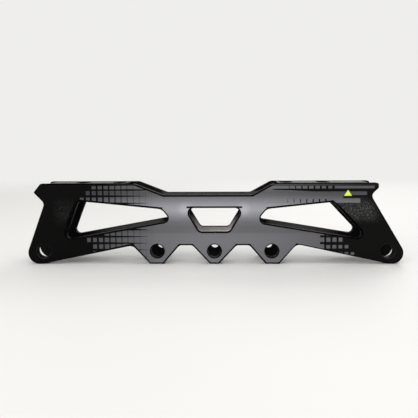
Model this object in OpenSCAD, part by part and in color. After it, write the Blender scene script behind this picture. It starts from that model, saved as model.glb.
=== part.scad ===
// Inline skate frame with five axle stations. Four wheels use all but the middle station;
// three wheels use the middle one and the two at the ends.
// Two windowed side plates stand on edge, a rear and a front mounting deck hold them apart,
// and the wheels run in the channel between them.
// X runs along the frame (front at +X), Y across it (outer plate at -Y), Z up.
// The origin is on the floor, below the middle axle station, midway between the plates.

/* [Wheelbase] */
// Spacing of the axle stations; the end stations lie three spacings from the middle
axle_pitch = 45.5; // [44:0.1:48]
// Height of the axle line above the feet that the bare frame stands on
axle_height = 10.4; // [9.6:0.1:12]
// Radius kept free around the axle stations under the decks
wheel_arch_r = 47; // [44:0.5:48]

/* [Channel and plates] */
// Clear width between the two side plates
channel_w = 25; // [22:0.5:30]
// Thickness of each side plate
plate_t = 6; // [5.6:0.1:8]

/* [Plate top profile] */
// Height of the boot mounting faces above the axle line
mount_height = 53.8; // [53:0.1:58]
// Height of the dip between the decks above the axle line
dip_height = 44.6; // [42:0.1:48]
// Rear end of the slope into the dip, behind the middle axle
rear_shoulder = 63.5; // [61:0.1:66]
// Rear end of the dip floor, behind the middle axle
rear_dip = 40; // [38:0.1:44]
// Front end of the dip floor, ahead of the middle axle
front_dip = 30; // [26:0.1:32]
// Front end of the slope out of the dip, ahead of the middle axle
front_shoulder = 46.7; // [45:0.1:48]
// Rounding where the slopes meet the flats
profile_r = 6; // [2:0.5:9]

/* [Plate ends] */
// Reach of the rear edge behind the rear end axle, at the axle's height
rear_reach = 12.8; // [12:0.1:13.2]
// Reach of the front edge ahead of the front end axle, at the axle's height
front_reach = 13.1; // [12.4:0.1:14]
// Rounding of the rear tab
rear_tab_r = 8.9; // [8:0.1:9.4]
// Rounding of the front tab
front_tab_r = 8.6; // [7.4:0.1:9]
// Distance from an end axle out to the end of the rail above its tab's foot
tab_foot = 1.2; // [0.4:0.1:1.6]
// Lean of the rear edge from upright, in degrees
rear_lean = 20.4; // [18:0.1:22]
// Lean of the front edge from upright, in degrees
front_lean = 31.2; // [30:0.1:33]
// Height of the rear neck above the axle line
rear_neck = 38.2; // [36:0.1:40]
// Height of the front neck above the axle line
front_neck = 44.2; // [42:0.1:46]
// Reach of the rear nose behind the rear end axle
rear_nose = 6.9; // [5:0.1:8]
// Drop of the rear nose's tip below the mounting face
rear_nose_drop = 6.8; // [5:0.1:9]
// Reach of the rear top corner behind the rear end axle
rear_corner = 1.4; // [0:0.1:3]
// Distance of the front end face behind the front end axle
front_setback = 7.8; // [6:0.1:10]
// Height of the front end face
front_face_h = 3.9; // [3:0.1:5]
// Rounding at the necks
neck_r = 4; // [2:0.5:6]
// Rounding of the rear nose
nose_r = 1; // [0.4:0.1:1.4]
// Rounding of the front end face's corners
front_corner_r = 1.6; // [0.6:0.1:1.8]

/* [Axle lobes] */
// Height above the axle line of the edge between two lobes
root_height = 4.5; // [3:0.1:6]
// Height above the axle line where the rear rail meets its lobe
rear_rail_height = 4.4; // [3:0.1:6]
// Height above the axle line where the front rail meets its lobe
front_rail_height = 5.3; // [3:0.1:6]
// Half width of the middle lobe's foot
mid_foot = 3.65; // [3:0.05:6]
// Half width of the middle lobe at its root
mid_root = 17.6; // [16:0.1:19]
// Outboard reach of an outer lobe's foot from its axle
side_foot_out = 6; // [4:0.1:8]
// Inboard reach of an outer lobe's foot from its axle
side_foot_in = 4.8; // [3:0.1:6]
// Outboard reach of an outer lobe's root from its axle
side_root_out = 19.8; // [18:0.1:21]
// Inboard reach of an outer lobe's root from its axle
side_root_in = 17.7; // [16:0.1:19]
// Rounding between the lobes
root_r = 4; // [1:0.5:5]
// Rounding where an end rail meets its lobe
rail_root_r = 6; // [2:0.5:7]
// Rounding at the corners of the feet
foot_r = 1; // [0.4:0.1:2]

/* [Middle window] */
// Half width of the middle window along its top edge
mid_win_top = 23.1; // [21:0.1:24]
// Half width of the middle window along its bottom edge
mid_win_bottom = 11.9; // [10:0.1:14]
// Height of the middle window's bottom edge above the axle line
mid_win_low = 15.5; // [14:0.1:18]
// Height of the middle window's top edge above the axle line
mid_win_high = 34.3; // [32:0.1:36]
// Rounding of the middle window's corners
mid_win_r = 4; // [2:0.5:4.5]

/* [Rear window] */
// Distance from the rear end axle to the rear window's lower corner
rear_win_low = 16.4; // [15:0.1:18]
// Height of the rear window's lower corner above the axle line
rear_win_low_z = 8.8; // [8.4:0.1:10]
// Distance from the rear end axle to the rear window's upper corner
rear_win_high = 28.5; // [27:0.1:30]
// Height of the rear window's upper corner above the axle line
rear_win_high_z = 40; // [38:0.1:40.4]
// Distance from the middle axle back to the rear window's tip
rear_win_tip = 34.5; // [33:0.1:36]
// Height of the rear window's tip above the axle line
rear_win_tip_z = 24.3; // [22:0.1:25]
// Rounding of the rear window's tip
rear_win_tip_r = 3.2; // [2:0.1:3.6]
// Distance from the middle axle back to the end of the rear window's top edge
rear_win_top = 41.7; // [40:0.1:44]

/* [Front window] */
// Distance from the front end axle to the front window's lower corner
front_win_low = 14.2; // [13:0.1:16]
// Height of the front window's lower corner above the axle line
front_win_low_z = 8.5; // [8.4:0.1:10]
// Distance from the front end axle to the front window's upper corner
front_win_high = 42.9; // [41:0.1:44]
// Height of the front window's upper corner above the axle line
front_win_high_z = 38.8; // [38:0.1:40.4]
// Distance from the middle axle to the front window's tip
front_win_tip = 32.9; // [32:0.1:35]
// Height of the front window's tip above the axle line
front_win_tip_z = 23.1; // [22:0.1:25]
// Rounding of the front window's tip
front_win_tip_r = 4.2; // [3:0.1:4.6]
// Distance from the middle axle to the end of the front window's top edge
front_win_top = 41.4; // [39:0.1:43]

/* [Both end windows] */
// Height of the inner end of an end window's top edge above the axle line
win_top_z = 33.4; // [32:0.1:35]
// Rounding of an end window's outer corners
win_r = 3.5; // [2:0.1:4]
// Rounding at the inner end of an end window's top edge
win_top_r = 7; // [4:0.5:8]

/* [Axle seats] */
// Radius of the bore that an axle's head fills
seat_bore_r = 5.2; // [4.8:0.05:5.5]
// Wall of a seat sleeve
seat_wall = 0.6; // [0.4:0.1:0.9]
// Depth of a sleeve's rim below the plate's outer face
seat_recess = 0.6; // [0.3:0.1:1.2]
// Bevel at the mouth of a seat in the outer plate
mouth_bevel = 0.3; // [0.1:0.1:0.6]
// Height of the bosses that the wheel bearings run against
boss_h = 0.5; // [0.2:0.1:1]

/* [Axle threads] */
// Radius of the threaded hole at its crests
thread_r = 3.4; // [2.8:0.05:3.8]
// Radius of a threaded insert's body
insert_r = 5.4; // [4.8:0.1:5.8]
// Extra radius of a threaded insert's collar
insert_collar_step = 1; // [0.6:0.1:1.4]
// Thickness of a threaded insert's collar
insert_collar_t = 1.6; // [1:0.1:2.4]

/* [Mounting decks] */
// Distance from a slot to the other deck's slot for the same boot bolt spacing
slot_span = 165; // [164:0.5:167]
// Distance between the two slots of a deck
slot_step = 30; // [28:0.5:31]
// Distance of the slot pattern's centre behind the middle axle
mount_shift = 9.7; // [9:0.1:10.4]
// Reach of the rear deck behind its outer slot
rear_deck_reach = 24.8; // [22:0.1:27]
// Reach of the front deck ahead of its outer slot
front_deck_reach = 33.7; // [30:0.1:36]
// Web that a deck keeps between its inner slot's liner and its inner end
deck_web = 1.8; // [1.2:0.1:3]
// Depth of a deck's ribs below the mounting face
rib_depth = 11.8; // [11:0.1:12.6]
// Thickness of a deck above its bolt pockets
deck_t = 5.8; // [5:0.1:6.4]
// Length of the rib between a deck's two bolt pockets
rib_len = 12; // [11:0.5:13]

/* [Slot liners] */
// Width of the opening in a slot liner
slot_w = 8.5; // [7:0.1:9]
// Length of the opening in a slot liner, across the frame
slot_len = 17.5; // [14:0.5:18]
// Wall of a slot liner
liner_wall = 0.8; // [0.6:0.1:1.4]
// Thickness of the flange below a slot liner
liner_flange_t = 1; // [0.6:0.1:1.6]
// Width of the flange beyond a slot liner's wall
liner_flange_w = 1.2; // [0.6:0.1:1.4]
// Depth of a liner's rim below the mounting face
liner_recess = 0.4; // [0.1:0.1:1]

/* [Joining hardware] */
// Radius of a deck screw's shank
screw_r = 2; // [1.5:0.1:2.2]
// Radius of a deck screw's head
screw_head_r = 3.75; // [3:0.05:4]
// Height of the upright rim of a deck screw's head
screw_rim = 0.3; // [0.2:0.05:0.5]
// Play around a deck screw, on the radius
screw_play = 0.15; // [0.05:0.05:0.25]
// Depth of the end screws' axes below the mounting face
screw_drop = 5.2; // [4.6:0.1:5.4]
// Distance from a bolt pocket to the next screw towards the deck's outer end
pocket_screw_gap = 5; // [4:0.1:6]
// Distance from the front deck's outer end to its end screw
end_screw_inset = 8.5; // [7.5:0.1:9.5]
// Drop of the rib screws' axes below the middle of a rib
rib_screw_drop = 0.6; // [0:0.1:1]
// Half the offset between the screw and the dowel in a rib
rib_stagger = 2.8; // [2.4:0.1:3.4]
// Depth that a deck screw reaches into the outer plate
screw_grip = 4.2; // [3:0.1:4.4]
// Across flats of a deck screw's drive socket
screw_socket = 2.5; // [2:0.1:2.6]
// Depth of a deck screw's drive socket
screw_socket_depth = 1.5; // [1:0.1:2]
// Radius of a dowel pin
dowel_r = 1.5; // [1:0.1:1.7]
// Depth of the dowels' axes below the mounting face
dowel_drop = 3.2; // [2.8:0.1:3.6]
// Distance from a deck's outer end to its end dowel
end_dowel_inset = 3; // [2.4:0.1:4]
// Length of a dowel pin inside a plate
dowel_in_plate = 4; // [3:0.1:4.6]
// Length of a dowel pin inside a deck
dowel_in_deck = 5; // [3:0.5:8]

/* [Hidden] */

// Axle stations, from the rear to the front
stations = [for (k = [-3, -1, 0, 1, 3]) k * axle_pitch];
end_axle = 3 * axle_pitch;
half_channel = channel_w / 2;
half_width = half_channel + plate_t;
top_z = axle_height + mount_height;
eps = 0.01;
// Angle between the points of a rounded corner
arc_step = 10;
round_fn = 48;

// Slots: the outer ones lie slot_span + slot_step apart, the inner ones slot_span - slot_step
rear_outer_x = -mount_shift - (slot_span + slot_step) / 2;
front_outer_x = -mount_shift + (slot_span + slot_step) / 2;
rear_inner_x = rear_outer_x + slot_step;
front_inner_x = front_outer_x - slot_step;
pocket_len = slot_step - rib_len;

// Ends of the decks
rear_deck_outer = rear_outer_x - rear_deck_reach;
front_deck_outer = front_outer_x + front_deck_reach;
slot_reach = slot_w / 2 + liner_wall + deck_web;
rear_deck_inner = rear_inner_x + slot_reach;
front_deck_inner = front_inner_x - slot_reach;
// Middles of the ribs between the bolt pockets
rear_rib_x = (rear_outer_x + rear_inner_x) / 2;
front_rib_x = (front_inner_x + front_outer_x) / 2;

// Places of the cross screws and dowels: along the frame, then height above the floor
low_row = top_z - rib_depth / 2 - rib_screw_drop;
high_row = top_z - screw_drop;
dowel_row = top_z - dowel_drop;
rear_screw_at = [
    [rear_outer_x - pocket_len / 2 - pocket_screw_gap, high_row],
    [rear_rib_x + rib_stagger, low_row]];
front_screw_at = [
    [front_rib_x - rib_stagger, low_row],
    [front_outer_x + pocket_len / 2 + pocket_screw_gap, low_row],
    [front_deck_outer - end_screw_inset, high_row]];
rear_dowel_at = [
    [rear_deck_outer + end_dowel_inset, dowel_row],
    [rear_rib_x - rib_stagger, dowel_row]];
front_dowel_at = [
    [front_rib_x + rib_stagger, dowel_row],
    [front_deck_outer - end_dowel_inset, dowel_row]];

function unit(v) = v / norm(v);

// Points of a loop whose corners [x, z, r] are rounded with radius r
function rounded(c) =
    let (n = len(c))
    [for (i = [0 : n - 1])
        let (at = [c[i][0], c[i][1]],
            before = c[(i + n - 1) % n], after = c[(i + 1) % n],
            u = unit([before[0], before[1]] - at),
            v = unit([after[0], after[1]] - at),
            half = acos(u * v) / 2,
            middle = at + unit(u + v) * c[i][2] / sin(half),
            from = at + u * c[i][2] / tan(half) - middle,
            to = at + v * c[i][2] / tan(half) - middle,
            turn = atan2(from[0] * to[1] - from[1] * to[0], from * to),
            steps = ceil(abs(turn) / arc_step))
        for (k = [0 : steps])
            let (w = turn * k / steps)
            middle + [from[0] * cos(w) - from[1] * sin(w), from[0] * sin(w) + from[1] * cos(w)]];

// Distance from the middle axle of a leaning end edge, at a height above the axle line
function rear_edge_x(height) = end_axle + rear_reach - height * tan(rear_lean);
function front_edge_x(height) = end_axle + front_reach - height * tan(front_lean);

// Corners of the plate's outline, heights above the axle line, counter-clockwise from the rear foot
outline = [
    [-rear_edge_x(-axle_height), -axle_height, rear_tab_r],
    [-end_axle - tab_foot, -axle_height, foot_r],
    [-axle_pitch - side_root_out, rear_rail_height, rail_root_r],
    [-axle_pitch - side_foot_out, -axle_height, foot_r],
    [-axle_pitch + side_foot_in, -axle_height, foot_r],
    [-axle_pitch + side_root_in, root_height, root_r],
    [-mid_root, root_height, root_r],
    [-mid_foot, -axle_height, foot_r],
    [mid_foot, -axle_height, foot_r],
    [mid_root, root_height, root_r],
    [axle_pitch - side_root_in, root_height, root_r],
    [axle_pitch - side_foot_in, -axle_height, foot_r],
    [axle_pitch + side_foot_out, -axle_height, foot_r],
    [axle_pitch + side_root_out, front_rail_height, rail_root_r],
    [end_axle + tab_foot, -axle_height, foot_r],
    [front_edge_x(-axle_height), -axle_height, front_tab_r],
    [front_edge_x(front_neck), front_neck, neck_r],
    [end_axle - front_setback, mount_height - front_face_h, front_corner_r],
    [end_axle - front_setback, mount_height, front_corner_r],
    [front_shoulder, mount_height, profile_r],
    [front_dip, dip_height, profile_r],
    [-rear_dip, dip_height, profile_r],
    [-rear_shoulder, mount_height, profile_r],
    [-end_axle - rear_corner, mount_height, nose_r],
    [-end_axle - rear_nose, mount_height - rear_nose_drop, nose_r],
    [-rear_edge_x(rear_neck), rear_neck, neck_r]];

middle_window = [
    [-mid_win_bottom, mid_win_low, mid_win_r],
    [mid_win_bottom, mid_win_low, mid_win_r],
    [mid_win_top, mid_win_high, mid_win_r],
    [-mid_win_top, mid_win_high, mid_win_r]];

rear_window = [
    [-end_axle + rear_win_low, rear_win_low_z, win_r],
    [-rear_win_tip, rear_win_tip_z, rear_win_tip_r],
    [-rear_win_top, win_top_z, win_top_r],
    [-end_axle + rear_win_high, rear_win_high_z, win_r]];

front_window = [
    [end_axle - front_win_low, front_win_low_z, win_r],
    [end_axle - front_win_high, front_win_high_z, win_r],
    [front_win_top, win_top_z, win_top_r],
    [front_win_tip, front_win_tip_z, front_win_tip_r]];

// Plate with its three windows, from y0 to y0 + plate_t
module windowed_plate(y0) {
    translate([0, y0 + plate_t, axle_height]) rotate([90, 0, 0]) linear_extrude(height = plate_t)
        difference() {
            polygon(rounded(outline));
            polygon(rounded(rear_window));
            polygon(rounded(middle_window));
            polygon(rounded(front_window));
        }
}

// Round bar along Y from y0 to y1, at x and height z
module bar(x, z, r, y0, y1) {
    translate([x, y1, z]) rotate([90, 0, 0]) cylinder(r = r, h = y1 - y0, $fn = round_fn);
}

// Cone along Y, radius r0 at y0 and r1 at y1
module taper(x, z, r0, r1, y0, y1) {
    translate([x, y0, z]) rotate([-90, 0, 0]) cylinder(r1 = r0, r2 = r1, h = y1 - y0, $fn = round_fn);
}

module outer_side_plate() {
    face = -half_width;
    hole_r = seat_bore_r + seat_wall;
    color("#26262a") difference() {
        windowed_plate(face);
        for (x = stations) {
            taper(x, axle_height, hole_r + mouth_bevel, hole_r, face, face + mouth_bevel);
            bar(x, axle_height, hole_r, face - 1, -half_channel + 1);
        }
        for (at = concat(rear_screw_at, front_screw_at))
            bar(at[0], at[1], screw_r, -half_channel - screw_grip, -half_channel + 1);
        for (at = concat(rear_dowel_at, front_dowel_at))
            bar(at[0], at[1], dowel_r, -half_channel - dowel_in_plate, -half_channel + 1);
    }
}

module inner_side_plate() {
    face = half_width;
    color("#1d1d20") difference() {
        windowed_plate(half_channel);
        for (x = stations) {
            bar(x, axle_height, insert_r + insert_collar_step, face - insert_collar_t, face + 1);
            bar(x, axle_height, insert_r, half_channel - 1, face);
        }
        for (at = concat(rear_screw_at, front_screw_at)) {
            bar(at[0], at[1], screw_r + screw_play, half_channel - 1, face);
            screw_head(at, screw_play, 1);
        }
        for (at = concat(rear_dowel_at, front_dowel_at))
            bar(at[0], at[1], dowel_r, half_channel - 1, half_channel + dowel_in_plate);
    }
}

// Upright slot with round ends that runs across the frame
module oblong(w, l, z0, z1) {
    for (side = [-1, 1])
        translate([0, side * (l - w) / 2, z0]) cylinder(d = w, h = z1 - z0, $fn = round_fn);
    translate([-w / 2, -(l - w) / 2, z0]) cube([w, l - w, z1 - z0]);
}

// Deck from x0 to x1, arched over the wheels and hollowed under its slots
module deck(x0, x1, slots, screws, dowels) {
    liner_w = slot_w + 2 * liner_wall;
    liner_len = slot_len + 2 * liner_wall;
    difference() {
        translate([x0, -half_channel, top_z - rib_depth]) cube([x1 - x0, channel_w, rib_depth]);
        for (x = stations)
            bar(x, axle_height, wheel_arch_r, -half_channel - 1, half_channel + 1);
        for (x = slots) {
            translate([x - pocket_len / 2, -half_channel - 1, top_z - rib_depth - 1])
                cube([pocket_len, channel_w + 2, rib_depth + 1 - deck_t]);
            translate([x, 0, 0]) oblong(liner_w, liner_len, top_z - deck_t - 1, top_z + 1);
        }
        for (at = screws)
            bar(at[0], at[1], screw_r + screw_play, -half_channel - 1, half_channel + 1);
        for (at = dowels) {
            bar(at[0], at[1], dowel_r, -half_channel - 1, -half_channel + dowel_in_deck);
            bar(at[0], at[1], dowel_r, half_channel - dowel_in_deck, half_channel + 1);
        }
    }
}

module rear_mount_deck() {
    color("#8d8c88") deck(rear_deck_outer, rear_deck_inner,
        [rear_outer_x, rear_inner_x], rear_screw_at, rear_dowel_at);
}

module front_mount_deck() {
    color("#8d8c88") deck(front_deck_inner, front_deck_outer,
        [front_inner_x, front_outer_x], front_screw_at, front_dowel_at);
}

// Steel oblong bush that lines a mounting slot, put in from below up to its flange
module slot_liner(x) {
    w = slot_w + 2 * liner_wall;
    l = slot_len + 2 * liner_wall;
    under = top_z - deck_t;
    color("#55565a") translate([x, 0, 0]) difference() {
        union() {
            oblong(w, l, under - eps, top_z - liner_recess);
            oblong(w + 2 * liner_flange_w, l + 2 * liner_flange_w, under - liner_flange_t, under);
        }
        oblong(slot_w, slot_len, under - liner_flange_t - 1, top_z + 1);
    }
}

// Sleeve that an axle's head fills; the wheel bearing runs against its inner end
module axle_seat(x) {
    rim = -half_width + seat_recess;
    color("#3a3b3f") difference() {
        bar(x, axle_height, seat_bore_r + seat_wall, rim, -half_channel + boss_h);
        bar(x, axle_height, seat_bore_r, rim - 1, -half_channel + boss_h + 1);
    }
}

// Threaded bush with a collar on the outside, so that the axle pulls it tighter
module axle_insert(x) {
    color("#4a4b4f") difference() {
        union() {
            bar(x, axle_height, insert_r + insert_collar_step, half_width - insert_collar_t, half_width);
            bar(x, axle_height, insert_r, half_channel - boss_h, half_width);
        }
        bar(x, axle_height, thread_r, half_channel - boss_h - 1, half_width + 1);
    }
}

// Countersunk head, grown by play all round and run out past the face by proud
module screw_head(at, play, proud) {
    r = screw_head_r + play;
    rim = half_width - screw_rim;
    taper(at[0], at[1], screw_r + play, r, rim - (screw_head_r - screw_r), rim);
    bar(at[0], at[1], r, rim, half_width + proud);
}

module deck_screws(places) {
    color("#303135") for (at = places) difference() {
        union() {
            bar(at[0], at[1], screw_r, -half_channel - screw_grip, half_width - screw_rim);
            screw_head(at, 0, 0);
        }
        translate([at[0], half_width + 1, at[1]]) rotate([90, 0, 0])
            cylinder(d = screw_socket / cos(30), h = screw_socket_depth + 1, $fn = 6);
    }
}

module deck_dowels(places) {
    color("#9a9b9e") for (at = places) {
        bar(at[0], at[1], dowel_r, -half_channel - dowel_in_plate, -half_channel + dowel_in_deck);
        bar(at[0], at[1], dowel_r, half_channel - dowel_in_deck, half_channel + dowel_in_plate);
    }
}

outer_side_plate();
inner_side_plate();
rear_mount_deck();
front_mount_deck();
slot_liner(rear_outer_x);  // rear_outer_slot_liner
slot_liner(rear_inner_x);  // rear_inner_slot_liner
slot_liner(front_inner_x);  // front_inner_slot_liner
slot_liner(front_outer_x);  // front_outer_slot_liner
axle_seat(stations[0]);  // axle_seat_1
axle_seat(stations[1]);  // axle_seat_2
axle_seat(stations[2]);  // axle_seat_3
axle_seat(stations[3]);  // axle_seat_4
axle_seat(stations[4]);  // axle_seat_5
axle_insert(stations[0]);  // axle_insert_1
axle_insert(stations[1]);  // axle_insert_2
axle_insert(stations[2]);  // axle_insert_3
axle_insert(stations[3]);  // axle_insert_4
axle_insert(stations[4]);  // axle_insert_5
deck_screws(rear_screw_at);  // rear_deck_screws
deck_screws(front_screw_at);  // front_deck_screws
deck_dowels(rear_dowel_at);  // rear_deck_dowels
deck_dowels(front_dowel_at);  // front_deck_dowels
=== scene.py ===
from functools import reduce
from math import cos, radians, sin

import bmesh
import bpy
from mathutils import Matrix, Vector


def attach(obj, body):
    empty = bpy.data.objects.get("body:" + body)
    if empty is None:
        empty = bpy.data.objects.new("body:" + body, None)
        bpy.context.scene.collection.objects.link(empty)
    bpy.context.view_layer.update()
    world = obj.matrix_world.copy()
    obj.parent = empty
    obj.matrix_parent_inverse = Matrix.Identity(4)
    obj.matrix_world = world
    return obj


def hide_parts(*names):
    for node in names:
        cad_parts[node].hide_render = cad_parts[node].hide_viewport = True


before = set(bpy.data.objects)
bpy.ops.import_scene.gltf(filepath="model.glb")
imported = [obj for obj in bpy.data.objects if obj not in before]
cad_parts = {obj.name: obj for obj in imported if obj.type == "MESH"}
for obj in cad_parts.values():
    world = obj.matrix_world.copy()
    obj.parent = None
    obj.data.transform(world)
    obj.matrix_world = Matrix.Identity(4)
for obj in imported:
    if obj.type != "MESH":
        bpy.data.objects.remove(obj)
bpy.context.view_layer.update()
bpy.ops.object.select_all(action="DESELECT")

MM = 0.001

# The frame's own measures, in millimetres: X along it, Y across it, Z above the floor
AXLE_Z = 10.4
AXLE_X = [-136.5, -45.5, 0.0, 45.5, 136.5]
FACE_Y = 18.5
WALL_Y = 12.5
TOP_Z = 64.2
DIP_Z = 55.0
ROOT_Z = 14.9
BORE_R = 3.4
GROOVE_R = 3.95
THREAD_RIDGES = 5
SCREWS = [(-121.2, 59.0), (-89.4, 57.7), (70.0, 57.7), (101.8, 57.7), (113.0, 59.0)]
DOWELS = [(-129.0, 61.0), (-95.0, 61.0), (75.6, 61.0), (118.5, 61.0)]

# Reach of a round hole's rims from its middle
AXLE_RIM = 8
SCREW_RIM = 4.2
DOWEL_RIM = 1.7

# Corners of the outline as X and height; the arches and the rails are alike on both halves
ARCH = [(3.65, 0), (17.6, ROOT_Z), (27.8, ROOT_Z), (40.7, 0)]
RAIL = [(51.5, 0), (65.3, 15.2), (137.7, 0)]
DIP = [(-63.5, TOP_Z), (-40, DIP_Z), (30, DIP_Z), (46.7, TOP_Z)]

# Windows: how far they reach, and their top edges
WINDOW_X = 124
WINDOW_LOW = 17
WINDOW_HIGH = 53
REAR_WINDOW_TOP = [(-108.0, 50.4), (-41.7, 43.8)]
FRONT_WINDOW_TOP = [(41.4, 43.8), (93.6, 49.2)]
MIDDLE_WINDOW_TOP = 44.7

# Scooped window edges: upper corner, lower corner, and how many times wider than the plain rounding
SCOOPS = [((-108.0, 50.4), (-120.1, 19.2), 2.6), ((93.6, 49.2), (122.3, 18.9), 1.7)]
SCOOP_POINTS = 13

# Sizes of the roundings
EDGE_ROUND = 0.95
WINDOW_ROUND = 1.15
INNER_ROUND = 0.3
MOUTH_ROUND = 0.35

# Places of the finishes on a side plate and on a deck
PRINTED, LACQUER, COAT, DULL, INSIDE, WALLS = range(6)
MILLED, UNDER, MOUTH = range(3)

# Places of the two cross axes in a point
Y_AXIS = 1
Z_AXIS = 2

# Limits for telling points and faces apart: lengths in metres, angles in degrees
NEAR = 0.01 * MM
MERGE = 0.002 * MM
FLAT = 0.999
NEARLY_FLAT = 0.99
TOP_EDGE = (TOP_Z - 0.05) * MM
SAME_FACE_ANGLE = 0.3
SMOOTH_ANGLE = 38
SHARP_ANGLE = 50


# Working on meshes

def solo(piece):
    """Makes one object the only selected and the active one."""
    if bpy.context.object and bpy.context.object.mode != "OBJECT":
        bpy.ops.object.mode_set(mode="OBJECT")
    bpy.ops.object.select_all(action="DESELECT")
    bpy.context.view_layer.objects.active = piece
    piece.select_set(True)


def merged_copy(node, name, *finishes):
    """Copy of a machined solid with its loose triangles joined into clean faces."""
    piece = bpy.data.objects.new(name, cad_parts[node].data.copy())
    bpy.context.collection.objects.link(piece)
    piece.data.materials.clear()
    for finish in finishes:
        piece.data.materials.append(finish)
    solo(piece)
    if piece.data.has_custom_normals:
        bpy.ops.mesh.customdata_custom_splitnormals_clear()
    bpy.ops.object.mode_set(mode="EDIT")
    bpy.ops.mesh.select_all(action="SELECT")
    bpy.ops.mesh.remove_doubles(threshold=MERGE)
    bpy.ops.mesh.dissolve_limited(angle_limit=radians(SAME_FACE_ANGLE))
    bpy.ops.object.mode_set(mode="OBJECT")
    return piece


def pick(piece, kind, liked):
    """Opens the piece for editing with the vertices, edges or faces selected that liked() accepts.

    True if there are any.
    """
    solo(piece)
    bpy.ops.object.mode_set(mode="EDIT")
    bpy.ops.mesh.select_mode(type=kind)
    bpy.ops.mesh.select_all(action="DESELECT")
    mesh = bmesh.from_edit_mesh(piece.data)
    items = {"VERT": mesh.verts, "EDGE": mesh.edges, "FACE": mesh.faces}[kind]
    chosen = [item for item in items if liked(item)]
    for item in chosen:
        item.select_set(True)
    bmesh.update_edit_mesh(piece.data)
    return bool(chosen)


def rim_edge(edge, axis, place):
    """True for an edge in the plane at place on that axis that bounds a flat face of the plane."""
    if not all(abs(v.co[axis] - place) < NEAR for v in edge.verts):
        return False
    flats = [abs(f.normal[axis]) > FLAT for f in edge.link_faces]
    return any(flats) and not all(flats)


def round_over(piece, liked, size, steps, finish=-1, profile=0.5):
    """Rounds the edges that liked() accepts, in the given finish or in that of the faces beside."""
    if pick(piece, "EDGE", liked):
        bpy.ops.mesh.bevel(offset=size * MM, offset_type="OFFSET", segments=steps, profile=profile,
                           affect="EDGES", clamp_overlap=False, material=finish)
    bpy.ops.object.mode_set(mode="OBJECT")


def refill(piece, axis, place, finish):
    """Lays clean flat faces between the rims of one plane, in place of the ones there."""
    if pick(piece, "FACE", lambda f: abs(f.normal[axis]) > FLAT
            and abs(f.calc_center_median()[axis] - place) < NEAR):
        bpy.ops.mesh.delete(type="FACE")
        bpy.ops.mesh.select_mode(type="EDGE")
        bpy.ops.mesh.select_non_manifold(extend=False, use_wire=False, use_boundary=True,
                                         use_multi_face=False, use_non_contiguous=False,
                                         use_verts=False)
        bpy.ops.mesh.fill(use_beauty=True)
        piece.active_material_index = finish
        bpy.ops.object.material_slot_assign()
        bpy.ops.mesh.select_all(action="SELECT")
        bpy.ops.mesh.normals_make_consistent(inside=False)
    bpy.ops.object.mode_set(mode="OBJECT")


def finish_mesh(piece):
    """Smooth shading with the flat faces kept flat."""
    solo(piece)
    bpy.ops.object.mode_set(mode="EDIT")
    bpy.ops.mesh.select_all(action="SELECT")
    bpy.ops.mesh.remove_doubles(threshold=MERGE)
    bpy.ops.object.mode_set(mode="OBJECT")
    bpy.ops.object.shade_smooth_by_angle(angle=radians(SMOOTH_ANGLE))
    even = piece.modifiers.new("flat faces", "WEIGHTED_NORMAL")
    even.keep_sharp = True
    bpy.ops.object.modifier_apply(modifier=even.name)


def hand_over(piece, node):
    """Shows the piece in place of its solid and fixes it to the frame."""
    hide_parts(node)
    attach(piece, "root")


# Shader maths

def level(value):
    """Linear brightness of a screen level, 0 to 255."""
    return (value / 255) ** 2.2


def grey(tone, warm=0.0):
    """Linear colour of a grey given as its screen level, made warmer or cooler."""
    linear = level(tone)
    return (linear * (1 + warm), linear, linear * (1 - warm))


class Value:
    """A socket in a finish. Arithmetic on it adds nodes."""

    def __init__(self, finish, socket):
        self.finish, self.socket = finish, socket

    def _maths(self, operation, *values):
        return self.finish.node("ShaderNodeMath", {"operation": operation}, dict(enumerate(values)))

    def __add__(self, other):
        return self._maths("ADD", self, other)

    def __radd__(self, other):
        return self._maths("ADD", other, self)

    def __sub__(self, other):
        return self._maths("SUBTRACT", self, other)

    def __rsub__(self, other):
        return self._maths("SUBTRACT", other, self)

    def __mul__(self, other):
        return self._maths("MULTIPLY", self, other)

    def __rmul__(self, other):
        return self._maths("MULTIPLY", other, self)

    def __truediv__(self, other):
        return self._maths("DIVIDE", self, other)

    def __pow__(self, other):
        return self._maths("POWER", self, other)

    def __abs__(self):
        return self._maths("ABSOLUTE", self)

    def fraction(self):
        return self._maths("FRACT", self)

    def most(self, other):
        return self._maths("MAXIMUM", self, other)

    def least(self, other):
        return self._maths("MINIMUM", self, other)

    def above(self, edge, soft):
        """0 below the edge and 1 above it, with a soft change."""
        return self.finish.node("ShaderNodeMapRange", {"interpolation_type": "SMOOTHSTEP"},
                                {"Value": self, "From Min": edge - soft, "From Max": edge + soft})

    def below(self, edge, soft):
        return 1 - self.above(edge, soft)

    def between(self, low, high, soft):
        return self.above(low, soft) * self.below(high, soft)

    def graded(self, *stops):
        """Value that runs through the stops (place, value) in straight lines."""
        first, last = stops[0][0], stops[-1][0]
        low, high = min(v for at, v in stops), max(v for at, v in stops)
        shares = [((at - first) / (last - first), ((v - low) / (high - low),) * 3)
                  for at, v in stops]
        return self.finish.ramp((self - first) / (last - first), shares) * (high - low) + low

    def toned(self, *stops):
        """Brightness that runs through the stops (place, screen level)."""
        return self.graded(*((at, level(tone)) for at, tone in stops))


def place_stops(elements, stops):
    """Sets a ramp's two ends and adds the stops between them."""
    for element, (at, colour) in zip(elements, (stops[0], stops[-1])):
        element.position = at
        element.color = (*colour, 1)
    for at, colour in stops[1:-1]:
        elements.new(at).color = (*colour, 1)


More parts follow.
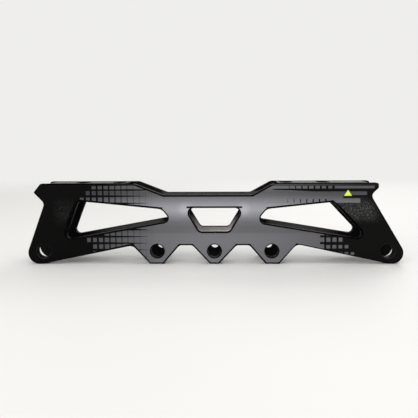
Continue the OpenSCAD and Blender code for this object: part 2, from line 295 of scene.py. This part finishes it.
class Finish:
    """A material under construction on the Principled shader."""

    def __init__(self, name, constants):
        self.material = bpy.data.materials.new(name)
        self.material.use_nodes = True
        self.tree = self.material.node_tree
        self.shader = self.tree.nodes["Principled BSDF"]
        for socket, value in constants.items():
            self.shader.inputs[socket].default_value = value

    def node(self, kind, settings, inputs, output=0):
        """Adds one node: its settings first, then the values or links of its sockets."""
        node = self.tree.nodes.new(kind)
        for name, value in settings.items():
            if name == "stops":
                place_stops(node.color_ramp.elements, value)
            else:
                setattr(node, name, value)
        for name, value in inputs.items():
            self.join(node.inputs[name], value)
        return Value(self, node.outputs[output])

    def join(self, socket, value):
        """Links a value to the socket, or sets the socket to a constant."""
        if isinstance(value, Value):
            self.tree.links.new(value.socket, socket)
        elif socket.type == "RGBA" and len(value) == 3:
            socket.default_value = (*value, 1)
        else:
            socket.default_value = value

    def ramp(self, value, stops):
        """Colour that runs through the stops (share of the way, colour)."""
        return self.node("ShaderNodeValToRGB", {"stops": stops}, {"Fac": value})

    def mix(self, amount, a, b):
        """Colour a, turning to b as the amount goes from 0 to 1."""
        return self.node("ShaderNodeMix", {"data_type": "RGBA"}, {0: amount, 6: a, 7: b}, output=2)

    def tint(self, colour, brightness):
        """A colour made brighter or darker."""
        return self.node("ShaderNodeVectorMath", {"operation": "SCALE"},
                         {0: colour, "Scale": brightness})

    def place(self, stretch=(1, 1, 1)):
        """Object coordinates in millimetres, stretched if need be."""
        spot = self.node("ShaderNodeTexCoord", {}, {}, output=3)
        return self.node("ShaderNodeVectorMath", {"operation": "MULTIPLY"},
                         {0: spot, 1: tuple(s / MM for s in stretch)})

    def axes(self):
        """The three object coordinates as values, in millimetres."""
        split = self.node("ShaderNodeSeparateXYZ", {}, {0: self.place()})
        return [Value(self, output) for output in split.socket.node.outputs]

    def noise(self, size, detail=2.0, stretch=(1, 1, 1)):
        """Cloudy noise from 0 to 1, its clouds about size millimetres across."""
        return self.node("ShaderNodeTexNoise", {"normalize": True},
                         {"Vector": self.place(stretch), "Scale": 1 / size, "Detail": detail})

    def grains(self, size, feature="F1"):
        """Distance from the nearest of many scattered points, about size millimetres apart."""
        return self.node("ShaderNodeTexVoronoi", {"feature": feature},
                         {"Vector": self.place(), "Scale": 1 / size})

    def bump(self, height, strength, depth):
        """Raised and sunk detail, with its depth in millimetres."""
        return self.node("ShaderNodeBump", {},
                         {"Height": height, "Strength": strength, "Distance": depth * MM})

    def feed(self, **inputs):
        """Joins values to the shader's sockets, and gives the finished material."""
        for name, value in inputs.items():
            self.join(self.shader.inputs[name.replace("_", " ")], value)
        return self.material


# Coats

def pebbles(finish):
    """Height of the cast texture under the black coat."""
    return (1 - finish.grains(0.62, "SMOOTH_F1")) * 0.7 + finish.noise(0.45, 3) * 0.5


def black_coat():
    """Satin black coat over a cast, pebbled surface."""
    coat = Finish("black coat on cast metal", {"Specular IOR Level": 0.32})
    grain = pebbles(coat)
    cloud = coat.noise(9, 3)
    fleck = coat.noise(0.34, 1).above(0.63, 0.05) * coat.noise(5, 2).above(0.42, 0.16)
    base = coat.mix(cloud, grey(17, 0.04), grey(27, 0.05))
    return coat.feed(Base_Color=coat.mix(fleck * 0.5, base, grey(96, 0.05)),
                     Roughness=0.40 + grain * 0.12 + cloud * 0.1,
                     Normal=coat.bump(grain, 0.55, 0.16))


def edge_lacquer():
    """Smooth black lacquer on the rounded edges, rubbed in places, with a painted highlight along the
    top of the print.
    """
    coat = Finish("black lacquer on the edges", {"Specular IOR Level": 0.03})
    x, y, z = coat.axes()
    scuffs = coat.noise(3.2, 4, (1, 1, 0.6)).above(0.68, 0.07) * coat.noise(0.5, 2).above(0.5, 0.12)
    # Painted highlight along the rounding over the top of the print, strongest towards the front and
    # fading out at both ends
    along = x.graded((-88, 0), (-80, 0.25), (60, 1.0), (90, 0.95), (110, 0.5), (126, 0.4), (130, 0))
    top_edge = z.between(62.9, 63.75, 0.1) * y.below(-17, 0.5) * along
    # Real scuffs together with the painted highlight along the top
    rubbed = (scuffs * 0.2).most(top_edge)
    return coat.feed(Base_Color=coat.mix(rubbed, grey(7, 0.04), grey(70, 0.03)),
                     Roughness=0.46 + coat.noise(1.1, 3) * 0.14,
                     Normal=coat.bump(coat.noise(0.7, 2), 0.25, 0.05))


def dull_coat():
    """Dull black on the top edges of the plates and in the mouths of the slots."""
    coat = Finish("dull black on the top edges", {"Specular IOR Level": 0.0})
    return coat.feed(Base_Color=coat.mix(coat.noise(2.5, 3), grey(8, 0.04), grey(14, 0.04)),
                     Roughness=0.7 + coat.noise(1.1, 3) * 0.2,
                     Normal=coat.bump(pebbles(coat), 0.3, 0.08))


def inside_coat():
    """Dark coat on the faces towards the channel, with painted light: brightest low down behind the
    middle window, lit in the end windows with painted shade at their ends, and lit under the open
    dip.
    """
    coat = Finish("thin coat inside the channel", {"Specular IOR Level": 0.08})
    x, _, z = coat.axes()
    grain = pebbles(coat)
    # Painted light behind the middle window, brightest low down and fading to black upwards
    middle = z.toned((12, 24), (22, 165), (26, 165), (30, 140), (33, 95), (36.5, 10), (52, 10))
    # Painted light in the end windows, darker at the bottom and at the top
    sides = z.toned((10, 20), (16, 78), (44, 78), (52, 14))
    # The end windows' painted light fades into painted shade at both ends
    along = x.graded((-104, 0), (-101, 0.1), (-94, 0.3), (-87, 0.5), (-69, 0.8), (-50, 1),
                     (-46, 1), (-42, 0), (42, 0), (46, 1), (70, 1), (84, 0.7), (96, 0.4), (105, 0))
    # Painted light from above, under the open dip
    dip_rim = z.between(50.5, 56, 1) * abs(x).below(44, 4) * level(74)
    tone = (middle * abs(x).below(26, 8) + sides * along).most(dip_rim).most(level(12))
    speckle = coat.noise(1.1, 2) * 0.9 + 0.55
    return coat.feed(Base_Color=coat.tint((1.06, 1.0, 0.98), tone * speckle),
                     Roughness=0.5 + grain * 0.12,
                     Normal=coat.bump(grain, 0.5, 0.14))


def wall_coat():
    """Matt black on the walls of the windows and the dip, lighter grey along the end windows and in
    the dip, with a painted highlight on the middle sill.
    """
    coat = Finish("matt coat on the walls", {"Specular IOR Level": 0.03})
    x, y, z = coat.axes()
    is_outer = y.below(0, 1)
    # Painted highlight on the middle sill, brighter towards the front
    sill = (abs(x).below(13.5, 2) * z.between(24, 29, 1) * y.above(-15.2, 0.8)
            * x.toned((-14, 200), (14, 250)))
    # The lighter walls of the end windows stop short of their tips, which stay black as painted shade
    sides = abs(x).between(44, 102, 6) * z.below(44, 3) * level(40)
    dip = z.above(44, 1) * level(40)
    speckle = coat.noise(0.9, 2) * 1.1 + 0.45
    tone = ((sill + sides) * is_outer + dip).most(level(9)) * speckle
    return coat.feed(Base_Color=coat.tint((1.05, 1.0, 0.98), tone),
                     Roughness=0.6,
                     Normal=coat.bump(pebbles(coat), 0.5, 0.14))


# Printed face: a grey field on black that breaks up into squares towards both ends

LINE_SOFT = 0.25
CELL_SOFT = 0.03
FIELD_TINT = (0.985, 0.99, 1.07)
ACCENT = (0.77, 0.95, 0.085)


def from_middle(along, origin, pitch):
    """Distance from the middle of a grid cell, as a share of the cell's width."""
    return abs(((along - origin) / pitch).fraction() - 0.5)


def rear_grid(x, z, in_row):
    """Squares of the rear half, which grow together towards the middle."""
    column_half = x.graded((-106, 0.30), (-93, 0.335), (-74, 0.435), (-60, 0.475), (-47, 0.51),
                           (-30, 0.56))
    row_half = x.graded((-106, 0.30), (-93, 0.33), (-80, 0.36), (-65, 0.42), (-56, 0.465),
                        (-49, 0.525), (-30, 0.56))
    top_gap = z.between(57, 61.5, 0.5) * x.between(-72, -50, 6) * 0.07
    cells = (from_middle(x, origin=-64.0, pitch=4.8).below(column_half, CELL_SOFT)
             * in_row.below(row_half - top_gap, CELL_SOFT))
    # Each row has its own start; on the upper rail it is one square further out than the row above
    start = z.graded((12.0, -96.9), (16.7, -96.9), (16.9, -101.6), (22.0, -101.6), (22.2, -88.0),
                     (40, -88.0), (48.0, -107.2), (54.3, -107.2), (54.5, -102.3), (59.2, -102.3),
                     (59.4, -97.6), (64.2, -97.6))
    return cells * (x - start).above(0, LINE_SOFT)


def low_squares(x, z, in_row):
    """Lower rail of the front half: plain field, then squares that stop in steps."""
    stop = z.graded((0.0, 111.5), (11.49, 111.5), (11.51, 106.7), (16.84, 106.7), (16.86, 101.9),
                    (23.0, 101.9))
    half = x.graded((84, 0.335), (98, 0.325), (106, 0.29), (112, 0.27))
    soft = 0.035
    in_column = from_middle(x, origin=87.5, pitch=4.79)
    cells = in_column.below(half, soft) * in_row.below(half, soft)
    for low, high in ((9.5, 11.5), (15.2, 16.8)):
        cells = cells * (1 - z.between(low, high, 0.12))
    plain = x.below(83.4, 0.3)
    fringe = x.below(86.5, 0.3) * in_row.below(0.325, soft)
    return cells.most(plain).most(fringe) * (stop - x).above(0, LINE_SOFT)


def high_bars(x, z):
    """Upper rail of the front half: three bars, the top one cut by gaps, the lowest ticked."""
    def bar(low, high, end, soft=LINE_SOFT, end_soft=0.3):
        return z.between(low, high, soft) * x.below(end, end_soft)

    gap = x.graded((52, 0.0), (62, 0.08), (77, 0.14), (92, 0.2), (95.9, 0.2), (96.0, 0.0),
                   (130, 0.0))
    is_cut = gap.above(0.02, 0.01)
    cuts = from_middle(x, origin=93.2, pitch=4.925).above(0.5 - gap, 0.025) * is_cut
    ticks = (from_middle(x, origin=92.4, pitch=4.97).above(0.5 - gap * 0.7, 0.02) * is_cut
             * z.below(51.7, 0.3) * x.below(90, 0.5))
    top = bar(59.95, 62.0, 125.2) * (1 - cuts)
    middle = bar(54.8, 57.6, 119.4)
    fill = bar(52.1, 54.9, 101.0, soft=0.2, end_soft=1.2)
    low = bar(48.8, 52.2, 114.3) * (1 - ticks)
    inner = z.below(48.8, 0.2) * x.below(96.0, 1.5)

    # A dark slit under the top bar that widens towards the front
    slit_z = x.graded((60, 59.35), (80, 58.8))
    slit = abs(z - slit_z).below(x.graded((46, 0.4), (80, 1.2)), 0.2)
    lead = bar(57.5, 60.0, 78, end_soft=4) * (1 - slit)
    margin = z.above(62.1, 0.15) * x.graded((44, 0.5), (75, 0.34), (102, 0.2), (110, 0.13),
                                            (126, 0.08), (130, 0.0))
    plain = x.below(46, 2)
    return reduce(Value.most, (top, middle, fill, low, inner, lead, margin, plain))


def over(x, z, a, b):
    """Distance above the straight line through the points a and b."""
    run, rise = b[0] - a[0], b[1] - a[1]
    return ((z - a[1]) * run - (x - a[0]) * rise) / (run * run + rise * rise) ** 0.5


def over_each(x, z, corners):
    """Distances above the straight lines from each corner to the next."""
    return [over(x, z, a, b) for a, b in zip(corners, corners[1:])]


def print_area(x, z):
    """1 where the print lies: a little short of the outline and of the windows' top edges."""
    out, border, soft = abs(x), 1.3, 0.12
    arches = reduce(Value.most, over_each(out, z, ARCH))
    rails = reduce(Value.most, over_each(out, z, RAIL))
    dip = reduce(Value.most, [-1 * distance for distance in over_each(x, z, DIP)])
    area = arches.least(rails).least(dip).least(z).above(border, soft)
    lip = 1.6
    middle_rim = 1.45
    rear_lip = over(x, z, *REAR_WINDOW_TOP).between(0, lip, soft) * x.between(-108, -41, 0.5)
    front_lip = over(x, z, *FRONT_WINDOW_TOP).between(0, lip, soft) * x.between(41, 94, 0.5)
    middle_lip = (z - MIDDLE_WINDOW_TOP).between(0, middle_rim, soft) * out.below(22, 0.5)
    return area * (1 - (rear_lip + front_lip + middle_lip))


def field_tone(face, x, z):
    """Brightness of the grey field, a painted highlight: a light band at window height, brightest in
    the middle and darker towards the ends.
    """
    height = z.toned((0, 114), (20, 117), (24.2, 114), (25.6, 105), (30, 104), (34, 112),
                     (38, 137), (43, 162), (46.5, 155), (50, 134), (54, 108), (57, 94), (61, 112),
                     (64, 112))
    length = x.graded((-110, 0.36), (-84, 0.46), (-62, 0.66), (-45, 0.86), (-15, 1.0), (15, 1.0),
                      (45, 0.92), (66, 0.80), (90, 0.66), (126, 0.60))
    # Soft painted highlight beside the upper corners of the middle window
    corner_x, corner_z, reach = 22.8, 43.8, 7.5
    off = ((abs(x + 0.2) - corner_x) / reach) ** 2 + ((z - corner_z) / reach) ** 2
    glow = (1 - off.least(1)) ** 2
    mottle = face.noise(14, 3) * 0.05 + face.noise(0.5, 1) * 0.05 + 0.95
    return height * length * mottle + glow * 0.11


def cast_black(face, x, z):
    """Black of the bare ends, with a painted sheen in a patch at the front tab, a soft lift and pale
    flecks on the pebbles, and a fainter one at the rear.
    """
    # Patches of painted sheen on the front and rear tabs
    front = x.between(92, 129, 5) * z.between(36, 50.5, 5) * (x + z * 0.6).below(152, 6)
    rear = x.between(-126, -112, 4) * z.between(34, 50, 5) * 0.24
    # Pale flecks on the pebbles within the painted sheen
    fleck = (face.grains(1.0).below(0.32, 0.16) * face.noise(1.3, 2).above(0.42, 0.16)
             * front.most(rear))
    black = face.mix(x.above(20, 60), grey(10, 0.06), grey(20, 0.02))
    # Soft painted sheen over the patches
    black = face.mix(front.most(rear * 0.5) * 0.12, black, grey(108, 0.0))
    return face.mix(fleck * 0.7, black, grey(118, 0.02))


def printed_face():
    """The whole print, with a plain accent triangle and a dark line under it."""
    face = Finish("printed grey field on black", {"Specular IOR Level": 0.05})
    x, _, z = face.axes()
    row = z.graded((0.9, 0), (6.1, 1), (11.5, 2), (16.8, 3), (22.1, 4), (27.4, 5), (43.0, 6),
                   (48.7, 7), (54.4, 8), (59.3, 9), (63.0, 10), (66.0, 10.01))
    in_row = abs(row.fraction() - 0.5)
    is_upper = z.above(35, 1)
    is_front = x.above(0, 1)
    front = high_bars(x, z) * is_upper + low_squares(x, z, in_row) * (1 - is_upper)
    field = rear_grid(x, z, in_row) * (1 - is_front) + front * is_front
    field = field * print_area(x, z)

    foot_z, tall, middle_x, half_wide = 54.2, 4.6, 104.6, 3.05
    rise = (z - foot_z) / tall
    accent = (abs(x - middle_x) / half_wide + rise).below(1, 0.04) * rise.above(0, 0.03)
    line = z.between(52.7, foot_z, 0.15) * x.between(101.2, 108.3, 0.3)
    clear = 1 - line.most(accent)

    paint = face.tint(FIELD_TINT, field_tone(face, x, z))
    colour = face.mix(field * clear, cast_black(face, x, z), paint)
    grain = pebbles(face)
    cover = field.most(accent)
    return face.feed(Base_Color=face.mix(accent, colour, ACCENT),
                     Roughness=0.44 - cover * 0.06 + grain * 0.06,
                     Normal=face.bump(grain * (1 - cover * 0.93) + cover * 0.3, 0.5, 0.13))


# Metals

def milled_face():
    """Mounting face milled flat and blasted: warm grey metal with fine cutter marks."""
    metal = Finish("milled mounting face", {"Metallic": 0.05, "Specular IOR Level": 0.1})
    x, y, _ = metal.axes()
    centre_y, mark_pitch = -60, 0.9
    sweep = (x * x * 0.0004 + (y - centre_y) * (y - centre_y)) ** 0.5
    marks = abs((sweep / mark_pitch + metal.noise(6, 2) * 0.6).fraction() - 0.5)
    cloud = metal.noise(7, 4)
    scratch = metal.noise(1.0, 2, (0.1, 6, 1)).above(0.66, 0.05)
    base = metal.mix(cloud, grey(82, 0.08), grey(98, 0.08))
    base = metal.mix(marks * 0.35, base, grey(70, 0.06))
    base = metal.mix(x.above(0, 50) * 0.4, base, grey(58, 0.06))
    return metal.feed(Base_Color=metal.mix(scratch * 0.3, base, grey(116, 0.05)),
                      Roughness=0.54 + marks * 0.14 + cloud * 0.08,
                      Normal=metal.bump(marks + metal.noise(0.4, 2) * 0.4, 0.35, 0.03))


def turned_steel(name, tone, roughness, worn=0.25, metallic=1.0, gloss=0.5):
    """Steel turned in rings round its own axis, for the pieces that stand across the frame."""
    steel = Finish(name, {"Metallic": metallic, "Specular IOR Level": gloss})
    _, y, _ = steel.axes()
    ring_pitch, brightest = 0.22, 235
    rings = abs((y / ring_pitch + steel.noise(2, 1) * 0.4).fraction() - 0.5)
    stain = steel.noise(1.6, 3)
    base = steel.mix(stain, grey(tone * 0.8, 0.03), grey(tone * 1.15, 0.02))
    rub = steel.noise(0.8, 4).above(0.62, 0.06)
    bare = grey(min(brightest, tone * 2.1), 0.0)
    return steel.feed(Base_Color=steel.mix(rub * worn, base, bare),
                      Roughness=roughness + rings * 0.12 + stain * 0.1,
                      Normal=steel.bump(rings, 0.3, 0.02))


def threaded_steel():
    """Dark steel of the axle nuts, with fine turns of the thread."""
    steel = Finish("threaded steel", {"Metallic": 1.0})
    _, y, _ = steel.axes()
    thread_pitch = 1.25
    turned = steel.noise(1.4, 3)
    thread = abs((y / thread_pitch).fraction() - 0.5) * 2
    base = steel.mix(turned, grey(22, 0.03), grey(34, 0.02))
    return steel.feed(Base_Color=steel.mix(thread * 0.4, base, grey(14, 0.0)),
                      Roughness=0.34 + turned * 0.14,
                      Normal=steel.bump(thread, 0.9, 0.45))


def oxide_steel():
    """Black oxide of the cross screws, rubbed bright in places."""
    steel = Finish("black oxide screws", {"Metallic": 0.85})
    stain = steel.noise(1.2, 4)
    rub = steel.noise(0.6, 3).above(0.6, 0.07)
    base = steel.mix(stain, grey(38, 0.02), grey(60, 0.02))
    return steel.feed(Base_Color=steel.mix(rub * 0.3, base, grey(150, 0.0)),
                      Roughness=0.38 + stain * 0.16,
                      Normal=steel.bump(steel.noise(0.3, 2), 0.25, 0.02))


coat = black_coat()
lacquer = edge_lacquer()
dull = dull_coat()
printed = printed_face()
inside = inside_coat()
walls = wall_coat()
milled = milled_face()
seat_steel = turned_steel("dark sleeve steel", tone=17, roughness=0.4, worn=0.08)
# Slot liners near black and barely reflective: painted shade inside the slots
liner_steel = turned_steel("slot liner steel", tone=10, roughness=0.55, worn=0.08, metallic=0.1,
                           gloss=0.05)
ground_steel = turned_steel("ground pin steel", tone=168, roughness=0.22)
insert_steel = threaded_steel()
screw_steel = oxide_steel()


# Side plates

def clear_of_holes(edge):
    """True for an edge that belongs to none of the round holes."""
    holes = ([(x, AXLE_Z, AXLE_RIM) for x in AXLE_X] + [(x, z, SCREW_RIM) for x, z in SCREWS]
             + [(x, z, DOWEL_RIM) for x, z in DOWELS])

    def within(point, x, z, rim):
        return (point.x - x * MM) ** 2 + (point.z - z * MM) ** 2 < (rim * MM) ** 2

    return not any(all(within(v.co, *hole) for v in edge.verts) for hole in holes)


def in_window(edge):
    """True for an edge of one of the three windows."""
    return all(abs(v.co.x) < WINDOW_X * MM and WINDOW_LOW * MM < v.co.z < WINDOW_HIGH * MM
               for v in edge.verts)


def on_top(edge):
    """True for an edge along the top of a plate."""
    return all(v.co.z > TOP_EDGE for v in edge.verts)


def is_top_face(polygon):
    """True for a level face at the height of the boot mounts."""
    return polygon.normal.z > NEARLY_FLAT and polygon.center.z > TOP_EDGE


def is_window_wall(polygon):
    """True for the walls of the windows and of the dip, and not for the underside or the ends."""
    underside_z = 30 * MM
    is_under = polygon.normal.z < -0.1 and polygon.center.z < underside_z
    crosses_plate = abs(polygon.normal.y) < 0.5
    return crosses_plate and abs(polygon.center.x) < WINDOW_X * MM and not is_under


def plate_finish(polygon, face):
    """Place of the finish that one flat face of a side plate takes."""
    if abs(polygon.center.y - face) < NEAR and abs(polygon.normal.y) > NEARLY_FLAT:
        return PRINTED
    if is_top_face(polygon):
        return DULL
    return WALLS if is_window_wall(polygon) else COAT


def on_line(point, top, low, reach):
    """Share of the way from top to low where the point is nearest, and how far off it lies.

    None for a point further off than reach.
    """
    start, end = (Vector(corner) * MM for corner in (top, low))
    run = end - start
    spot = Vector((point.x, point.z)) - start
    share = spot.dot(run) / run.dot(run)
    off = (spot - run * share).length
    return (share, off / MM) if off < reach * MM else None


def scoop_size(share, off, peak):
    """How many times wider than the plain rounding a scoop is, down its length and off its line."""
    fade = 3
    stops = [(-0.1, 0.0), (0.02, 0.05), (0.14, 0.5), (0.3, 0.92), (0.45, 1.0), (0.75, 0.72),
             (1.0, 0.2), (1.1, 0.0)]
    for (a, low), (b, high) in zip(stops, stops[1:]):
        if a <= share <= b:
            swell = low + (high - low) * (share - a) / (b - a)
            return 1 + (peak - 1) * swell * max(0.0, 1 - off / fade)
    return 1.0


def part_scooped_edges(plate, face):
    """Points along the scooped edges, so that a scoop can swell and narrow."""
    shortest = 10 * MM
    for top, low, _ in SCOOPS:
        pick(plate, "EDGE", lambda e: rim_edge(e, Y_AXIS, face) and e.calc_length() > shortest
             and all(on_line(v.co, top, low, reach=0.4) for v in e.verts))
        bpy.ops.mesh.subdivide(number_cuts=SCOOP_POINTS)
        bpy.ops.object.mode_set(mode="OBJECT")


def scoop_swells(plate, face):
    """Points of the sharp edges at the scoops, each with the scoop's size there."""
    beyond = 0.2
    swells = []
    for top, low, peak in SCOOPS:
        for vertex in plate.data.vertices:
            found = on_line(vertex.co, top, low, reach=4)
            if abs(vertex.co.y - face) < NEAR and found and -beyond < found[0] < 1 + beyond:
                swells.append((vertex.co.copy(), scoop_size(*found, peak)))
    return swells


def swell_scoops(plate, face, swells):
    """Each row of the rounding swells about the point of the sharp edge that it came from."""
    depth = (WINDOW_ROUND + 0.02) * MM
    reach = 1.5 * MM
    least_swell = 1.01
    deeper = 1.05
    owner = {}
    for vertex in plate.data.vertices:
        if abs(vertex.co.y - face) < depth:
            near = min(range(len(swells)), key=lambda i: (swells[i][0] - vertex.co).length)
            if (swells[near][0] - vertex.co).length < reach:
                owner[vertex.index] = near
    for number, (corner, size) in enumerate(swells):
        if size > least_swell and pick(plate, "VERT", lambda v: owner.get(v.index) == number):
            bpy.ops.transform.resize(value=(size, size * deeper, size), center_override=corner)


def side_plate(node, name, side):
    """Plate with rounded edges, scooped window ends and its printed outer face."""
    plate = merged_copy(node, name, printed, lacquer, coat, dull, inside, walls)
    face = side * FACE_Y * MM
    inner = side * WALL_Y * MM
    part_scooped_edges(plate, face)
    for polygon in plate.data.polygons:
        polygon.material_index = plate_finish(polygon, face)
    swells = scoop_swells(plate, face)

    round_over(plate, lambda e: rim_edge(e, Y_AXIS, face) and clear_of_holes(e) and not in_window(e),
               EDGE_ROUND, steps=4, finish=LACQUER)
    round_over(plate, lambda e: rim_edge(e, Y_AXIS, face) and in_window(e),
               WINDOW_ROUND, steps=5, finish=LACQUER, profile=0.58)
    # Points that the rounding pushed below the floor come back up to it
    if pick(plate, "VERT", lambda v: v.co.z < 0):
        bpy.ops.transform.resize(value=(1, 1, 0), center_override=(0, 0, 0))
    bpy.ops.object.mode_set(mode="OBJECT")
    round_over(plate, lambda e: rim_edge(e, Y_AXIS, inner) and clear_of_holes(e) and not on_top(e),
               INNER_ROUND, steps=2, finish=LACQUER)
    swell_scoops(plate, face, swells)

    refill(plate, Y_AXIS, inner, INSIDE)
    refill(plate, Y_AXIS, face, PRINTED)
    # The rounding along the top takes the dull black of the top edge
    dull_from = (TOP_Z - 0.5) * MM
    for polygon in plate.data.polygons:
        if polygon.material_index == LACQUER and polygon.center.z > dull_from:
            polygon.material_index = DULL
    finish_mesh(plate)
    hand_over(plate, node)


side_plate("outer_side_plate", "outer_plate_printed", side=-1)
side_plate("inner_side_plate", "inner_plate_printed", side=1)


# Mounting decks

def mount_deck(node, name):
    """Deck with its top milled, its ends rounded and its slots broken at the mouth."""
    deck = merged_copy(node, name, milled, coat, dull)
    for polygon in deck.data.polygons:
        polygon.material_index = MILLED if is_top_face(polygon) else UNDER
    wall = (WALL_Y - 0.02) * MM
    round_over(deck, lambda e: rim_edge(e, Z_AXIS, TOP_Z * MM)
               and not all(abs(v.co.y) > wall for v in e.verts), MOUTH_ROUND, steps=3, finish=MOUTH)
    refill(deck, Z_AXIS, TOP_Z * MM, MILLED)
    finish_mesh(deck)
    hand_over(deck, node)


mount_deck("rear_mount_deck", "rear_deck_milled")
mount_deck("front_mount_deck", "front_deck_milled")


# Steel pieces

def cut_thread(nut, x):
    """Turns the plain bore of a nut into ridges and grooves."""
    axis = Vector((x, 0, AXLE_Z)) * MM
    deeper = GROOVE_R / BORE_R
    shortest = 3 * MM
    slack = 0.03 * MM

    def on_bore(vertex):
        radius = ((vertex.co.x - axis.x) ** 2 + (vertex.co.z - axis.z) ** 2) ** 0.5
        return abs(radius - BORE_R * MM) < slack

    if pick(nut, "EDGE", lambda e: e.calc_length() > shortest and all(on_bore(v) for v in e.verts)):
        bpy.ops.mesh.subdivide(number_cuts=2 * THREAD_RIDGES - 1)
        mesh = bmesh.from_edit_mesh(nut.data)
        heights = sorted({round(v.co.y / MM, 3) for v in mesh.verts if on_bore(v)})
        grooves = heights[1::2]
        pick(nut, "VERT", lambda v: on_bore(v) and round(v.co.y / MM, 3) in grooves)
        bpy.ops.transform.resize(value=(deeper, 1, deeper), center_override=axis)
    bpy.ops.object.mode_set(mode="OBJECT")


def turned_piece(node, name, finish, rim, thread_x=None):
    """Steel piece with its sharp rims broken, and threaded if the thread's place is given."""
    piece = merged_copy(node, name, finish)
    round_over(piece, lambda e: len(e.link_faces) == 2
               and e.calc_face_angle(0) > radians(SHARP_ANGLE), rim, steps=2)
    if thread_x is not None:
        cut_thread(piece, thread_x)
    finish_mesh(piece)
    hand_over(piece, node)


for place in ("rear_outer", "rear_inner", "front_inner", "front_outer"):
    turned_piece(place + "_slot_liner", place + "_liner_bush", liner_steel,
                 rim=0.15)
for number, x in enumerate(AXLE_X, 1):
    turned_piece(f"axle_seat_{number}", f"axle_sleeve_{number}", seat_steel,
                 rim=0.12)
    turned_piece(f"axle_insert_{number}", f"axle_nut_{number}", insert_steel,
                 rim=0.2, thread_x=x)
for end in ("rear", "front"):
    turned_piece(end + "_deck_screws", end + "_cross_screws", screw_steel,
                 rim=0.1)
    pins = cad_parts[end + "_deck_dowels"].data
    pins.materials.clear()
    pins.materials.append(ground_steel)


# Floor, light and camera

FRAME_MIDDLE = (0, 0, 0.03)
PALE = (0.86, 0.855, 0.84)
STONE = (0.80, 0.795, 0.78)
PALER_STONE = (0.82, 0.815, 0.80)
SEEN = 1.0
LIGHTING = 0.55


def pale_strength(finish):
    """Strength of the pale surround: full to the eye and in mirrors, lower as a light."""
    path = finish.node("ShaderNodeLightPath", {}, {})
    outputs = path.socket.node.outputs
    eye, mirror, glass = (Value(finish, outputs[f"Is {ray} Ray"])
                          for ray in ("Camera", "Glossy", "Transmission"))
    return LIGHTING + (SEEN - LIGHTING) * eye.most(mirror).most(glass)


class Sky(Finish):
    """The world's node tree, in the manner of a finish."""

    def __init__(self, world):
        world.use_nodes = True
        self.tree = world.node_tree
        self.shader = self.tree.nodes["Background"]


world = bpy.context.scene.world or bpy.data.worlds.new("studio")
bpy.context.scene.world = world
sky = Sky(world)
sky.join(sky.shader.inputs["Color"], PALE)
sky.join(sky.shader.inputs["Strength"], pale_strength(sky))

# The floor turns into the pale surround between 0.4 and 1.4 metres from the frame's middle
bpy.ops.mesh.primitive_circle_add(vertices=96, radius=30, fill_type="NGON", location=(0, 0, 0))
floor = bpy.context.object
floor.name = "floor"
stone = Finish("pale floor", {"Roughness": 0.6, "Specular IOR Level": 0.25})
stone.feed(Base_Color=stone.mix(stone.noise(400, 2), STONE, PALER_STONE))
floor_x, floor_y, _ = stone.axes()
far = ((floor_x * floor_x + floor_y * floor_y) ** 0.5).above(900, 500)
glow = stone.node("ShaderNodeEmission", {}, {"Color": PALE, "Strength": pale_strength(stone)})
blend = stone.node("ShaderNodeMixShader", {},
                   {0: far, 1: Value(stone, stone.shader.outputs[0]), 2: glow})
stone.join(stone.tree.nodes["Material Output"].inputs["Surface"], blend)
floor.data.materials.append(stone.material)


def softbox(name, spot, width, height, watts):
    """Large area lamp at spot that faces the middle of the frame."""
    lamp = bpy.data.lights.new(name, "AREA")
    lamp.shape, lamp.size, lamp.size_y, lamp.energy = "RECTANGLE", width, height, watts
    box = bpy.data.objects.new(name, lamp)
    bpy.context.collection.objects.link(box)
    box.location = spot
    aim = Vector(FRAME_MIDDLE) - Vector(spot)
    box.rotation_euler = aim.to_track_quat("-Z", "Y").to_euler()


softbox("top softbox", (0, -0.15, 1.1), width=1.4, height=0.9, watts=5)
softbox("front softbox", (-0.5, -1.2, 0.7), width=1.0, height=0.7, watts=9.5)
softbox("back softbox", (0.5, 1.2, 0.8), width=1.0, height=0.7, watts=7)

# The camera: where it stands, in metres, and how it is turned
EYE = (0.0065, -0.4723, 0.0923)
yaw, pitch, roll = radians(-1.35), radians(6.07), radians(-0.276)
ahead = Vector((sin(yaw) * cos(pitch), cos(yaw) * cos(pitch), -sin(pitch)))
right = Vector((cos(yaw), -sin(yaw), 0))
up = right.cross(ahead)
rolled_right = right * cos(roll) + up * sin(roll)
rolled_up = up * cos(roll) - right * sin(roll)
turn = Matrix((rolled_right, rolled_up, -ahead)).transposed().to_4x4()
lens = bpy.data.cameras.new("camera")
lens.sensor_width, lens.lens, lens.clip_start = 36, 49.87, 0.01
camera = bpy.data.objects.new("camera", lens)
bpy.context.collection.objects.link(camera)
camera.matrix_world = Matrix.Translation(EYE) @ turn
bpy.context.scene.camera = camera
bpy.context.scene.view_settings.view_transform = "Standard"

bpy.ops.object.select_all(action="DESELECT")
